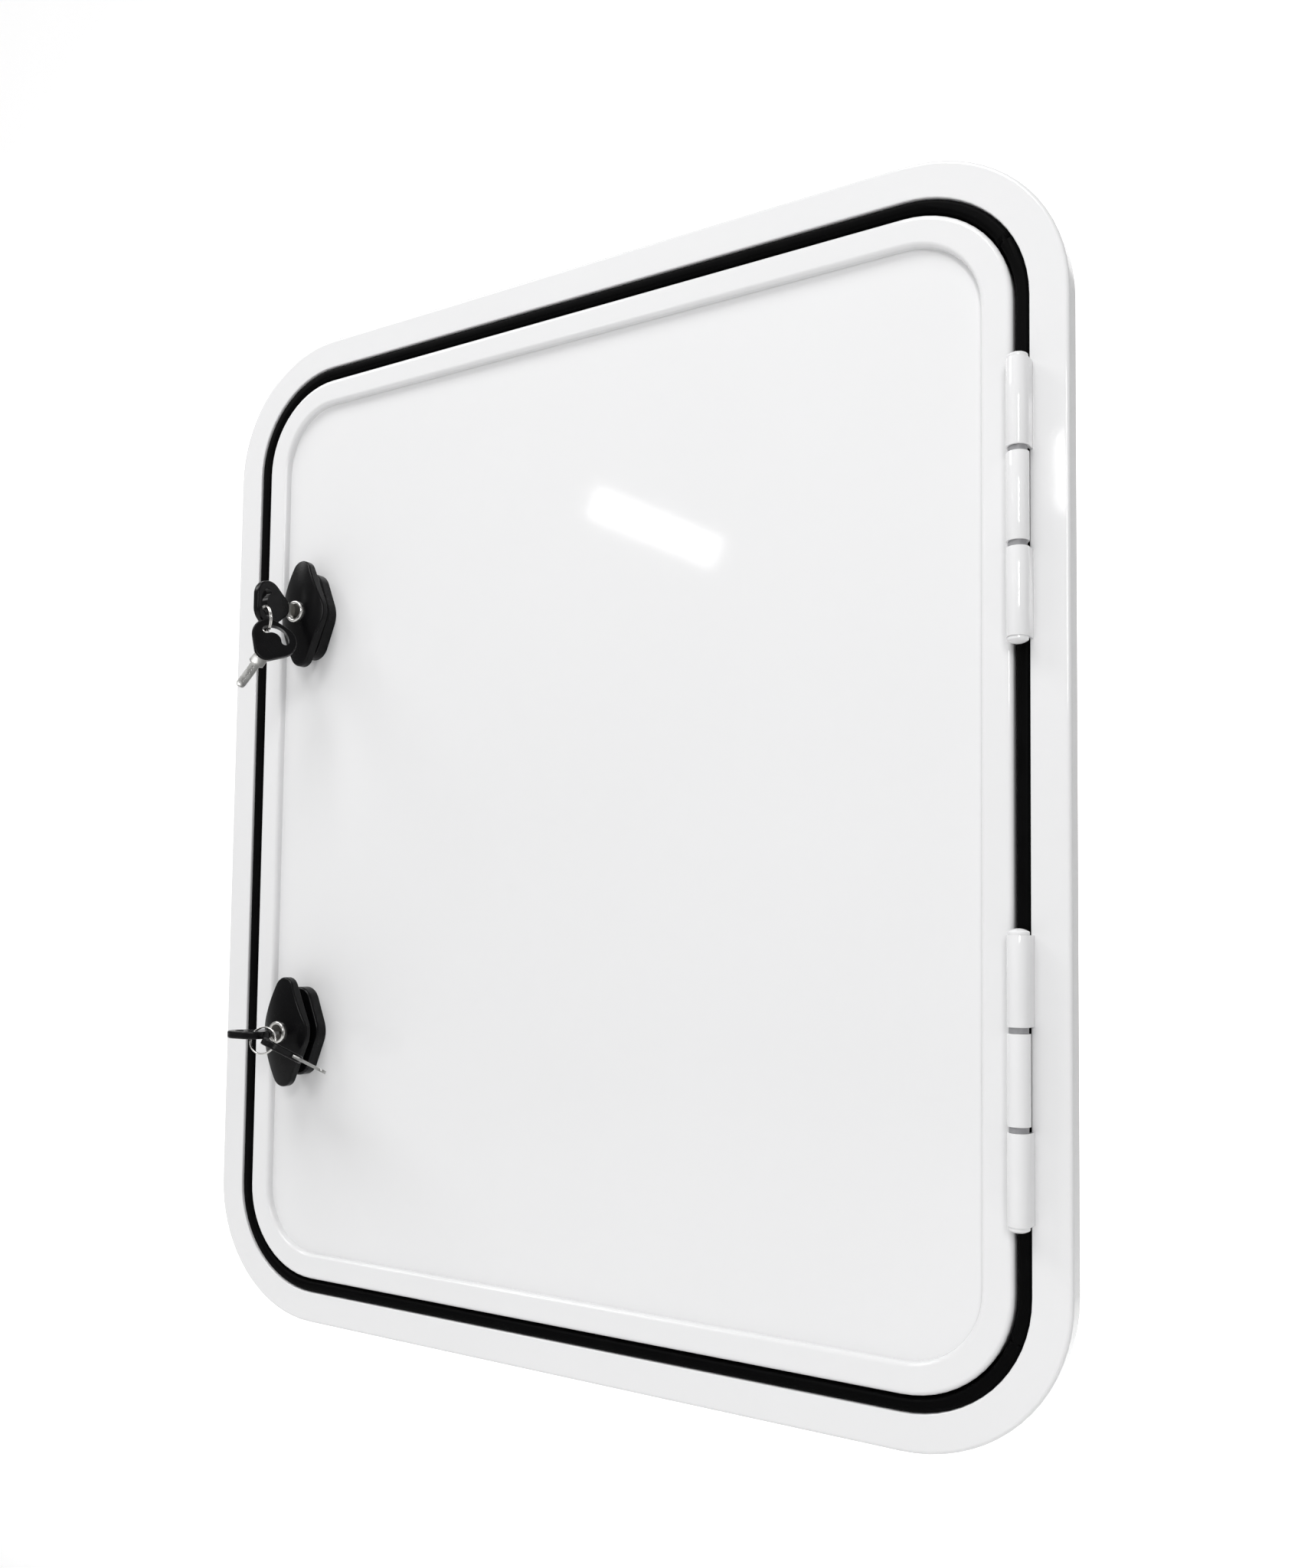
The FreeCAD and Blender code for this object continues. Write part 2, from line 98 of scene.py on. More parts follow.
# Where each key is: the middle of its head, the way of its blade and the way across its head.
KEYS = {
    "upper_key": ((-0.22900, -0.05290, 0.49450), (0, 1, 0), (0, 0, 1)),
    "upper_spare": ((-0.21922, -0.06113, 0.46511), (-0.21860, -0.49679, -0.83989),
                    (-0.59661, -0.61305, 0.51790)),
    "lower_key": ((-0.22900, -0.05890, 0.19750), (0, 1, 0), (1, 0, 0)),
    "lower_spare": ((-0.19838, -0.05932, 0.18715), (0.95803, -0.02090, -0.28591),
                    (0.09405, -0.91922, 0.38235)),
}

# How each ring lies: the way it leads from key to key and the way it passes through the first.
RINGS = {
    "upper": ((0.4055, -0.0663, -0.9117), (0.8455, -0.3519, 0.4016)),
    "lower": ((0.8961, 0.2179, -0.3868), (-0.3088, -0.3199, -0.8957)),
}

# The seal's butt joints: the corner's side, up or down, and the turn round that corner in degrees.
SEAL_JOINTS = ((1, 30.3), (-1, -21.4))

# CAD nodes by finish.
COATED = ("outer_frame", "door_rim")
PANELS = ("outer_skin", "inner_skin")
HINGE_COATED = ("hinge_frame_knuckles", "hinge_door_knuckle", "hinge_caps")
ZINC_PIECES = ("hinge_pin", "lock_nut", "spindle", "latch_tongue", "tongue_screw")
BLACK_PIECES = ("lock_base", "lock_barrel", "knob", "key_head", "spare_head")


# Selection and mesh helpers

def clear_selection():
    if bpy.context.mode != "OBJECT":
        bpy.ops.object.mode_set(mode="OBJECT")
    bpy.ops.object.select_all(action="DESELECT")


def take(obj):
    clear_selection()
    obj.select_set(True)
    bpy.context.view_layer.objects.active = obj


def edit(obj, kind="VERT"):
    take(obj)
    bpy.ops.object.mode_set(mode="EDIT")
    bpy.ops.mesh.select_mode(type=kind)


def pick(obj, test, kind="VERT"):
    """Selects the vertices, or the faces by their middle, that pass the test, in edit mode."""
    bpy.ops.mesh.select_mode(type=kind)
    bpy.ops.mesh.select_all(action="DESELECT")
    bpy.ops.object.mode_set(mode="OBJECT")
    if kind == "FACE":
        for face in obj.data.polygons:
            face.select = test(face.center)
    else:
        for vertex in obj.data.vertices:
            vertex.select = test(vertex.co)
    bpy.ops.object.mode_set(mode="EDIT")


def active_named(name):
    obj = bpy.context.active_object
    obj.name = name
    obj.data.name = name
    return obj


def apply_modifier(obj, kind, **settings):
    take(obj)
    modifier = obj.modifiers.new(kind.title(), kind)
    for key, value in settings.items():
        setattr(modifier, key, value)
    bpy.ops.object.modifier_apply(modifier=modifier.name)


def smooth(obj, degrees=35.0):
    take(obj)
    bpy.ops.object.shade_smooth_by_angle(angle=math.radians(degrees))


def outward(obj):
    edit(obj)
    bpy.ops.mesh.select_all(action="SELECT")
    bpy.ops.mesh.remove_doubles(threshold=MERGE_DISTANCE)
    bpy.ops.mesh.normals_make_consistent(inside=False)
    bpy.ops.object.mode_set(mode="OBJECT")


def stretch_on(dx, dy, dz):
    bpy.ops.mesh.extrude_region_move(TRANSFORM_OT_translate={"value": (dx, dy, dz)})


def copy_of(obj, name):
    """A copy of a modelled piece with its own mesh."""
    copy = bpy.data.objects.new(name, obj.data.copy())
    copy.data.name = name
    bpy.context.collection.objects.link(copy)
    return copy


def merged_copy(node, name):
    """A copy of a CAD node's mesh, merged, with its flat faces whole."""
    flat = math.radians(0.5)
    copy = copy_of(frame["nodes"][node], name)
    edit(copy)
    bpy.ops.mesh.select_all(action="SELECT")
    bpy.ops.mesh.remove_doubles(threshold=MERGE_DISTANCE)
    bpy.ops.mesh.dissolve_limited(angle_limit=flat)
    bpy.ops.object.mode_set(mode="OBJECT")
    return copy


def set_down(obj, origin, along, across):
    """Turns a piece modelled flat round the origin to its place, with the place in its mesh."""
    a = Vector(along).normalized()
    normal = a.cross(Vector(across)).normalized()
    turn = Matrix((a, normal.cross(a), normal)).transposed().to_4x4()
    take(obj)
    obj.matrix_world = Matrix.Translation(Vector(origin)) @ turn
    bpy.ops.object.transform_apply(location=True, rotation=True, scale=True)


def lathe(name, profile, steps):
    """A round piece: a point drawn along a closed profile of (radius, height), spun round Z."""
    clear_selection()
    bpy.ops.mesh.primitive_plane_add(size=MM, location=(0, 0, 0))
    obj = active_named(name)
    edit(obj)
    bpy.ops.mesh.select_all(action="SELECT")
    bpy.ops.mesh.merge(type="CENTER")
    radius, height = profile[0]
    bpy.ops.transform.translate(value=(radius, 0, height))
    for next_radius, next_height in profile[1:] + profile[:1]:
        stretch_on(next_radius - radius, 0, next_height - height)
        radius, height = next_radius, next_height
    bpy.ops.mesh.select_all(action="SELECT")
    bpy.ops.mesh.remove_doubles(threshold=MERGE_DISTANCE)
    bpy.ops.mesh.spin(steps=steps, angle=2 * math.pi, center=(0, 0, 0), axis=(0, 0, 1))
    outward(obj)
    return obj


def dress(obj, material, slot, body, *nodes):
    """Gives a piece its finish and ties it to the frame."""
    obj.data.materials.clear()
    obj.data.materials.append(material)
    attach(obj, body)
    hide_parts(*nodes)


def paint_node(node, material):
    obj = frame["nodes"][node]
    if not obj.material_slots:
        obj.data.materials.append(material)
    for slot in obj.material_slots:
        slot.material = material


# Finishes

def new_material(name):
    material = bpy.data.materials.get(name)
    if material:
        return material, None, None
    material = bpy.data.materials.new(name)
    material.use_nodes = True
    return material, material.node_tree, material.node_tree.nodes["Principled BSDF"]


def add_noise(tree, scale, detail=3.0, stretch=(1, 1, 1)):
    """Noise on the piece's own coordinates."""
    coordinates = tree.nodes.new("ShaderNodeTexCoord")
    mapping = tree.nodes.new("ShaderNodeMapping")
    mapping.inputs["Scale"].default_value = stretch
    noise = tree.nodes.new("ShaderNodeTexNoise")
    noise.inputs["Scale"].default_value = scale
    noise.inputs["Detail"].default_value = detail
    tree.links.new(coordinates.outputs["Object"], mapping.inputs["Vector"])
    tree.links.new(mapping.outputs["Vector"], noise.inputs["Vector"])
    return noise.outputs["Fac"]


def ramp_between(tree, value, low, high, start=NOISE_LOW, end=NOISE_HIGH):
    ramp = tree.nodes.new("ShaderNodeValToRGB")
    ramp.color_ramp.elements[0].position = start
    ramp.color_ramp.elements[1].position = end
    ramp.color_ramp.elements[0].color = (*low, 1)
    ramp.color_ramp.elements[1].color = (*high, 1)
    tree.links.new(value, ramp.inputs["Fac"])
    return ramp.outputs["Color"]


def spread(tree, value, low, high):
    span = tree.nodes.new("ShaderNodeMapRange")
    span.inputs["From Min"].default_value = NOISE_LOW
    span.inputs["From Max"].default_value = NOISE_HIGH
    span.inputs["To Min"].default_value = low
    span.inputs["To Max"].default_value = high
    tree.links.new(value, span.inputs["Value"])
    return span.outputs["Result"]


def bump_from(tree, shader, heights):
    """Chains bumps of (height, strength, distance) into the shader's normal."""
    normal = None
    for height, strength, distance in heights:
        bump = tree.nodes.new("ShaderNodeBump")
        bump.inputs["Strength"].default_value = strength
        bump.inputs["Distance"].default_value = distance
        tree.links.new(height, bump.inputs["Height"])
        if normal:
            tree.links.new(normal, bump.inputs["Normal"])
        normal = bump.outputs["Normal"]
    tree.links.new(normal, shader.inputs["Normal"])


def shade(colour, factor):
    return tuple(min(1.0, c * factor) for c in colour)


def white_coat():
    """Powder coat on the frame, rim and hinges: gloss with a fine orange peel."""
    finish = bpy.context.scene.hatch_finish
    material, tree, shader = new_material("white_powder_coat")
    if tree:
        tone = add_noise(tree, 5.0, 2.0)
        colour = ramp_between(tree, tone, shade(finish.coat, 0.985), finish.coat)
        tree.links.new(colour, shader.inputs["Base Color"])
        tree.links.new(spread(tree, add_noise(tree, 40.0), 0.05, 0.07), shader.inputs["Roughness"])
        bump_from(tree, shader, [(add_noise(tree, 620.0, 2.0), finish.peel, 0.00010)])
    return material


def white_panel():
    """Enamelled sheet of the door: smoother and glossier, with a faint waviness of thin sheet."""
    finish = bpy.context.scene.hatch_finish
    material, tree, shader = new_material("white_panel_enamel")
    if tree:
        tone = add_noise(tree, 4.0, 2.0)
        colour = ramp_between(tree, tone, shade(finish.panel, 0.985), finish.panel)
        tree.links.new(colour, shader.inputs["Base Color"])
        tree.links.new(spread(tree, add_noise(tree, 18.0), 0.05, 0.065), shader.inputs["Roughness"])
        bump_from(tree, shader, [(add_noise(tree, 2.4, 1.0, (1, 1, 0.4)), 0.10, 0.003),
                                 (add_noise(tree, 700.0, 2.0), 0.04, 0.0001)])
    return material


def black_rubber():
    """Extruded rubber of the seal, with a slightly dusty skin."""
    finish = bpy.context.scene.hatch_finish
    material, tree, shader = new_material("black_seal_rubber")
    if tree:
        dust = add_noise(tree, 60.0, 4.0)
        colour = ramp_between(tree, dust, finish.rubber, shade(finish.rubber, 1.9), 0.45, 0.9)
        tree.links.new(colour, shader.inputs["Base Color"])
        tree.links.new(spread(tree, dust, 0.46, 0.58), shader.inputs["Roughness"])
        bump_from(tree, shader, [(add_noise(tree, 900.0, 2.0), 0.15, 0.0002)])
        shader.inputs["Specular IOR Level"].default_value = 0.03
    return material


def black_plastic():
    """Moulded plastic of knobs, bases and key heads: satin with a fine spark-eroded grain."""
    finish = bpy.context.scene.hatch_finish
    material, tree, shader = new_material("black_moulded_plastic")
    if tree:
        tone = add_noise(tree, 120.0)
        colour = ramp_between(tree, tone, finish.plastic, shade(finish.plastic, 1.6))
        tree.links.new(colour, shader.inputs["Base Color"])
        tree.links.new(spread(tree, add_noise(tree, 90.0), 0.22, 0.29), shader.inputs["Roughness"])
        bump_from(tree, shader, [(add_noise(tree, 2600.0, 2.0), 0.10, 0.00006)])
        shader.inputs["Specular IOR Level"].default_value = 0.16
    return material


def plain_metal(name, colour, low, high, stretch):
    """Plated or galvanised metal with fine marks drawn along one way."""
    material, tree, shader = new_material(name)
    if tree:
        marks = add_noise(tree, 420.0, 4.0, stretch)
        marked = ramp_between(tree, marks, shade(colour, 0.84), colour)
        tree.links.new(marked, shader.inputs["Base Color"])
        tree.links.new(spread(tree, marks, low, high), shader.inputs["Roughness"])
        bump_from(tree, shader, [(marks, 0.10, 0.00008)])
        shader.inputs["Metallic"].default_value = 1.0
    return material


def nickel():
    return plain_metal("nickel_plate", (0.70, 0.69, 0.67), 0.16, 0.26, (1, 0.25, 1))


def blade_metal():
    return plain_metal("key_blade_nickel_silver", (0.40, 0.40, 0.39), 0.26, 0.38, (1, 1, 0.3))


# A darker copy of the nickel plate: painted shade on the cylinder's plug.
def plug_metal():
    return plain_metal("dark_plug_brass", (0.115, 0.110, 0.100), 0.30, 0.42, (1, 1, 1))


def zinc():
    return plain_metal("zinc_plate", (0.55, 0.56, 0.58), 0.32, 0.48, (1, 1, 0.2))


def grey_nylon():
    """Nylon of the bushes between the hinges' knuckles."""
    material, tree, shader = new_material("grey_bush_nylon")
    if tree:
        tone = add_noise(tree, 200.0)
        colour = ramp_between(tree, tone, (0.24, 0.24, 0.25), (0.30, 0.30, 0.31))
        tree.links.new(colour, shader.inputs["Base Color"])
        tree.links.new(spread(tree, tone, 0.42, 0.52), shader.inputs["Roughness"])
        bump_from(tree, shader, [(add_noise(tree, 1500.0, 2.0), 0.10, 0.0001)])
    return material


def foam():
    """Rigid foam of the door's core, with open cells."""
    material, tree, shader = new_material("core_foam")
    if tree:
        cells = add_noise(tree, 800.0, 4.0)
        colour = ramp_between(tree, cells, (0.62, 0.60, 0.50), (0.80, 0.78, 0.68))
        tree.links.new(colour, shader.inputs["Base Color"])
        tree.links.new(spread(tree, cells, 0.8, 0.95), shader.inputs["Roughness"])
        bump_from(tree, shader, [(cells, 0.5, 0.0006)])
    return material


def fade(tree, value, start, end):
    """0 before start and 1 past end, smoothly."""
    span = tree.nodes.new("ShaderNodeMapRange")
    span.interpolation_type = "SMOOTHSTEP"
    span.inputs["From Min"].default_value = start
    span.inputs["From Max"].default_value = end
    tree.links.new(value, span.inputs["Value"])
    return span.outputs["Result"]


def product(tree, first, second):
    times = tree.nodes.new("ShaderNodeMath")
    times.operation = "MULTIPLY"
    tree.links.new(first, times.inputs[0])
    if isinstance(second, float):
        times.inputs[1].default_value = second
    else:
        tree.links.new(second, times.inputs[1])
    return times.outputs["Value"]


def stage_paper(glow):
    """Studio paper with a painted glow: its emission makes it shine behind the hatch, out to the
    latch side.
    """
    material, tree, shader = new_material("studio_paper")
    if tree:
        tone = add_noise(tree, 1.5, 1.0)
        colour = ramp_between(tree, tone, (0.93, 0.93, 0.93), (0.95, 0.95, 0.95))
        tree.links.new(colour, shader.inputs["Base Color"])
        shader.inputs["Roughness"].default_value = 0.9
        shader.inputs["Specular IOR Level"].default_value = 0.1
        shader.inputs["Emission Color"].default_value = (1, 1, 1, 1)
        coordinates = tree.nodes.new("ShaderNodeTexCoord")
        parts = tree.nodes.new("ShaderNodeSeparateXYZ")
        tree.links.new(coordinates.outputs["Object"], parts.inputs["Vector"])
        # Painted glow: the paper gives off light only behind the hatch and fades out past half a
        # metre towards the hinge side.
        behind = fade(tree, parts.outputs["Y"], 0.15, 0.6)
        latch_side = fade(tree, parts.outputs["X"], 1.0, 0.5)
        strength = product(tree, product(tree, behind, latch_side), glow)
        tree.links.new(strength, shader.inputs["Emission Strength"])
    return material


class HatchFinish(bpy.types.PropertyGroup):
    """Colours of the hatch's finishes"""
    coat: bpy.props.FloatVectorProperty(
        name="Powder coat", description="Colour of the frame, rim and hinges", subtype="COLOR",
        default=(0.79, 0.79, 0.795), min=0, max=1)
    panel: bpy.props.FloatVectorProperty(
        name="Panel enamel", description="Colour of the door's sheet", subtype="COLOR",
        default=(0.80, 0.80, 0.805), min=0, max=1)
    rubber: bpy.props.FloatVectorProperty(
        name="Seal rubber", description="Colour of the rubber seal", subtype="COLOR",
        default=(0.0015, 0.0015, 0.0016), min=0, max=1)
    plastic: bpy.props.FloatVectorProperty(
        name="Moulded plastic", description="Colour of knobs and key heads", subtype="COLOR",
        default=(0.0015, 0.0015, 0.0018), min=0, max=1)
    peel: bpy.props.FloatProperty(
        name="Orange peel", description="Strength of the powder coat's texture", subtype="FACTOR",
        default=0.08, min=0, max=1)


class HatchSizes(bpy.types.PropertyGroup):
    """Sizes of the modelled pieces"""
    edge_round: bpy.props.FloatProperty(
        name="Hinge edge", description="Rounding of the hinges' edges",
        default=0.25 * MM, unit="LENGTH")
    knuckle_radius: bpy.props.FloatProperty(
        name="Hinge barrel", description="Radius of a hinge's barrel",
        default=6.0 * MM, unit="LENGTH")
    foot_drawn_in: bpy.props.FloatProperty(
        name="Hinge foot", description="How far a foot's edge is drawn in under the barrel",
        default=1.9 * MM, unit="LENGTH")
    corner_radius: bpy.props.FloatProperty(
        name="Corner", description="Radius of the frame's outer corners",
        default=90.0 * MM, unit="LENGTH")
    joint_gap: bpy.props.FloatProperty(
        name="Seal joint", description="Half the width of the groove at a seal's butt joint",
        default=0.50 * MM, unit="LENGTH")
    joint_depth: bpy.props.FloatProperty(
        name="Seal joint depth", description="Depth of that groove",
        default=1.4 * MM, unit="LENGTH")
    ring_radius: bpy.props.FloatProperty(
        name="Key ring", description="Radius of a split ring",
        default=9.0 * MM, unit="LENGTH")
    ring_wire: bpy.props.FloatProperty(
        name="Ring wire", description="Half the thickness of a split ring's wire",
        default=0.56 * MM, unit="LENGTH")
    blade_dimple: bpy.props.FloatProperty(
        name="Blade dimple", description="Radius of the ball that a blade's dimples are cut with",
        default=0.90 * MM, unit="LENGTH")


class HatchStage(bpy.types.PropertyGroup):
    """Studio round the hatch"""
    floor_drop: bpy.props.FloatProperty(
        name="Floor drop", description="How far the floor lies below the hatch",
        default=0.45, unit="LENGTH")
    top_power: bpy.props.FloatProperty(
        name="Top light", description="Power of the soft light above",
        default=64.0, unit="POWER")
    side_power: bpy.props.FloatProperty(
        name="Side light", description="Power of the soft light on the latch side",
        default=24.0, unit="POWER")
    front_power: bpy.props.FloatProperty(
        name="Front light", description="Power of the soft light in front",
        default=16.5, unit="POWER")
    lamp_power: bpy.props.FloatProperty(
        name="Lamp", description="Power of the small lamp that mirrors in the panel",
        default=0.46, unit="POWER")
    strip_power: bpy.props.FloatProperty(
        name="Strip lamp", description="Power of the narrow lamp that mirrors in the flange",
        default=0.16, unit="POWER")
    # Painted glow: the strength of the light that the paper gives off as emission, though it is no
    # lamp.
    paper_glow: bpy.props.FloatProperty(
        name="Paper glow", description="Light that the lit paper gives off", default=0.62)
    sky: bpy.props.FloatProperty(
        name="Surround", description="Strength of the white surround", default=0.34)


class HATCH_OT_paint(bpy.types.Operator):
    """Give every CAD piece its procedural finish"""
    bl_idname = "hatch.paint"
    bl_label = "Paint Frame, Door and Fittings"

    def execute(self, context):
        for node in COATED:
            paint_node(node, white_coat())
        for node in PANELS:
            paint_node(node, white_panel())
        paint_node("frame_seal", black_rubber())
        paint_node("foam_core", foam())
        for level in LEVELS:
            for piece in HINGE_COATED:
                paint_node(f"{level}_{piece}", white_coat())
            for piece in ZINC_PIECES:
                paint_node(f"{level}_{piece}", zinc())
            paint_node(f"{level}_hinge_bushes", grey_nylon())
            for piece in BLACK_PIECES:
                paint_node(f"{level}_{piece}", black_plastic())
            paint_node(f"{level}_cylinder_housing", nickel())
            # The plug gets the darker copy of the nickel: painted shade.
            paint_node(f"{level}_cylinder_plug", plug_metal())
            paint_node(f"{level}_key_ring", nickel())
            for piece in ("key_blade", "spare_blade"):
                paint_node(f"{level}_{piece}", blade_metal())
        return {"FINISHED"}


class HATCH_OT_hinges(bpy.types.Operator):
    """Round the hinges' edges and narrow their feet"""
    bl_idname = "hatch.hinges"
    bl_label = "Round Hinge Edges"

    # Edges that turn by more than these degrees are rounded. Vertices further from the pin than
    # this share of the barrel's radius belong to a foot.
    blunt_angle = 32.0
    foot_share = 1.15

    def execute(self, context):
        sizes = context.scene.hatch_sizes
        for hinge in LEVELS:
            for piece in HINGE_COATED:
                node = f"{hinge}_{piece}"
                obj = merged_copy(node, f"{node}_rounded")
                self.narrow_foot(obj, hinge, sizes)
                apply_modifier(obj, "BEVEL", width=sizes.edge_round, segments=3,
                               limit_method="ANGLE", angle_limit=math.radians(self.blunt_angle))
                smooth(obj, 30.0)
                dress(obj, white_coat(), "white_coat", body_of(frame["nodes"][node])[0], node)
        return {"FINISHED"}

    def narrow_foot(self, obj, hinge, sizes):
        """Draws the edge of a knuckle's foot in under its barrel."""
        low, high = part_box(f"{hinge}_hinge_pin")
        axis = (low[0] + high[0]) / 2
        reach = sizes.knuckle_radius * self.foot_share
        for way in (1, -1):
            edit(obj)
            pick(obj, lambda co: way * (co.x - axis) > reach)
            bpy.ops.transform.translate(value=(-way * sizes.foot_drawn_in, 0, 0))
            bpy.ops.object.mode_set(mode="OBJECT")


class HATCH_OT_seal(bpy.types.Operator):
    """Cut the butt joints into the rubber seal"""
    bl_idname = "hatch.seal"
    bl_label = "Join Seal Ends"

    # How far round a joint the strip is cut, how far its middle lies inside its outer edge, how far
    # behind its front a vertex belongs to the groove, and how near to a cut that vertex lies.
    reach = 14.0 * MM
    half_strip = 3.5 * MM
    front_depth = 4.0 * MM
    on_cut = 1e-5

    # How far one end stands past the other, and how far inside the outer edge that step begins.
    upper_step = 1.0 * MM
    upper_inset = 5.0 * MM
    lower_step = 0.25 * MM
    lower_inset = 1.0 * MM

    def execute(self, context):
        sizes = context.scene.hatch_sizes
        obj = merged_copy("frame_seal", "rubber_seal")
        low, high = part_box("outer_frame")
        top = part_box("frame_seal")[0][1]
        inset = high[0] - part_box("frame_seal")[1][0]
        outer = sizes.corner_radius - inset
        for side, degrees in SEAL_JOINTS:
            turn = math.radians(degrees)
            level = high[2] - sizes.corner_radius if side > 0 else low[2] + sizes.corner_radius
            corner = Vector((high[0] - sizes.corner_radius, top, level))
            outwards = Vector((math.cos(turn), 0, math.sin(turn)))
            self.cut_joint(obj, sizes, corner, outwards, outer, side)
        smooth(obj, 30.0)
        dress(obj, black_rubber(), "black_rubber", "frame", "frame_seal")
        return {"FINISHED"}

    def cut_joint(self, obj, sizes, corner, outwards, outer, side):
        """A groove across the strip, and a step where one end stands past the other."""
        along = Vector((-outwards.z, 0, outwards.x))
        place = corner + outwards * (outer - self.half_strip)
        edit(obj)
        for shift in (-sizes.joint_gap, 0, sizes.joint_gap):
            pick(obj, lambda co: (co - place).length < self.reach, "FACE")
            bpy.ops.mesh.bisect(plane_co=place + along * shift, plane_no=along,
                                threshold=self.on_cut)

        def on_plane(co, shift):
            near = (co - place).length < self.reach and co.y < place.y + self.front_depth
            return near and abs((co - place).dot(along) - shift) < self.on_cut

        def outward_place(co):
            return (co - corner).dot(outwards)

        pick(obj, lambda co: on_plane(co, 0))
        bpy.ops.transform.translate(value=(0, sizes.joint_depth, 0))
        if side > 0:
            inner = outer - self.upper_inset
            pick(obj, lambda co: on_plane(co, sizes.joint_gap) and outward_place(co) < inner)
            bpy.ops.transform.translate(value=-outwards * self.upper_step)
        else:
            edge = outer - self.lower_inset
            pick(obj, lambda co: on_plane(co, -sizes.joint_gap) and outward_place(co) > edge)
            bpy.ops.transform.translate(value=outwards * self.lower_step)
        bpy.ops.object.mode_set(mode="OBJECT")


class HATCH_OT_cylinders(bpy.types.Operator):
    """Turn the key cylinders with a rolled bright edge"""
    bl_idname = "hatch.cylinders"
    bl_label = "Turn Key Cylinders"

    # Radius and height below the face, in millimetres: bore, body, flange and rolled edge.
    profile = [(5.05, -21.8), (6.60, -21.8), (6.60, -3.5), (7.70, -3.5), (7.70, -1.35),
               (7.64, -0.95), (7.46, -0.55), (7.18, -0.24), (6.82, -0.05), (6.42, 0.0),
               (6.02, -0.08), (5.66, -0.30), (5.36, -0.66), (5.05, -0.90)]
    steps = 72

    def execute(self, context):
        pattern = lathe("cylinder_pattern", [(r * MM, h * MM) for r, h in self.profile], self.steps)
        smooth(pattern, 40.0)
        for lock in LEVELS:
            low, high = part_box(f"{lock}_cylinder_housing")
            obj = copy_of(pattern, f"{lock}_key_cylinder")
            face = ((low[0] + high[0]) / 2, low[1], (low[2] + high[2]) / 2)
            set_down(obj, face, (1, 0, 0), (0, 0, 1))
            dress(obj, nickel(), "nickel", f"{lock}_knob", f"{lock}_cylinder_housing")
        bpy.data.objects.remove(pattern)
        return {"FINISHED"}


class HATCH_OT_blades(bpy.types.Operator):
    """Model the key blades with shoulders and dimples"""
    bl_idname = "hatch.blades"
    bl_label = "Model Key Blades"

    # Places along the blade from the middle of its head, then its widths and details.
    root = 5.5 * MM
    shoulder = 18.9 * MM
    end = 39.5 * MM
    wide = 10.0 * MM
    narrow = 6.2 * MM
    thickness = 2.0 * MM
    slope = 1.2 * MM
    edge_round = 0.18 * MM
    tip_turns = (25, 48, 66, 80)
    first_dimple = 3.6 * MM
    dimple_spacing = 2.5 * MM
    dimples = 6

    def execute(self, context):
        sizes = context.scene.hatch_sizes
        pattern = self.model_blade()
        self.cut_dimples(pattern, sizes.blade_dimple)
        smooth(pattern, 25.0)
        for key, place in KEYS.items():
            lock = key.split("_")[0]
            obj = copy_of(pattern, f"{key}_dimpled_blade")
            set_down(obj, *place)
            dress(obj, blade_metal(), "nickel", f"{lock}_key", f"{key}_blade")
        bpy.data.objects.remove(pattern)
        return {"FINISHED"}

    def model_blade(self):
        """A flat blade along +X: root, sloped shoulder, shank and a rounded tip."""
        clear_selection()
        bpy.ops.mesh.primitive_cube_add(size=1.0, location=(0, 0, 0))
        obj = active_named("blade_pattern")
        edit(obj)
        bpy.ops.mesh.select_all(action="SELECT")
        bpy.ops.transform.resize(value=(self.shoulder - self.root, self.wide, self.thickness))
        bpy.ops.transform.translate(value=((self.shoulder + self.root) / 2, 0, 0))
        last = self.shoulder
        width = self.wide
        tip = self.narrow / 2
        shank_end = self.end - tip
        stations = [(self.shoulder + self.slope, self.narrow), (shank_end, self.narrow)]
        for turn in self.tip_turns:
            angle = math.radians(turn)
            stations.append((shank_end + tip * math.sin(angle), self.narrow * math.cos(angle)))
        for x, station_width in stations:
            pick(obj, lambda co: co.x > last - MERGE_DISTANCE)
            bpy.ops.mesh.select_mode(type="FACE")
            stretch_on(x - last, 0, 0)
            bpy.ops.transform.resize(value=(1, station_width / width, 1))
            last = x
            width = station_width
        bpy.ops.object.mode_set(mode="OBJECT")
        outward(obj)
        apply_modifier(obj, "BEVEL", width=self.edge_round, segments=2, limit_method="ANGLE",
                       angle_limit=math.radians(40.0))
        return obj

    def cut_dimples(self, obj, radius):
        """A row of shallow ball-cut dimples on both faces of the shank."""
        clear_selection()
        first = self.shoulder + self.first_dimple
        lift = self.thickness / 2 + radius / 2
        bpy.ops.mesh.primitive_uv_sphere_add(segments=20, ring_count=10, radius=radius,
                                             location=(first, 0, lift))
        cutter = active_named("dimple_cutter")
        bpy.ops.object.transform_apply(location=True, rotation=True, scale=True)
        apply_modifier(cutter, "ARRAY", count=self.dimples,
                       use_relative_offset=False, use_constant_offset=True,
                       constant_offset_displace=(self.dimple_spacing, 0, 0))
        apply_modifier(cutter, "MIRROR", use_axis=(False, False, True), use_mirror_merge=False)
        outward(cutter)
        apply_modifier(obj, "BOOLEAN", operation="DIFFERENCE", object=cutter, solver="EXACT")
        bpy.data.objects.remove(cutter)


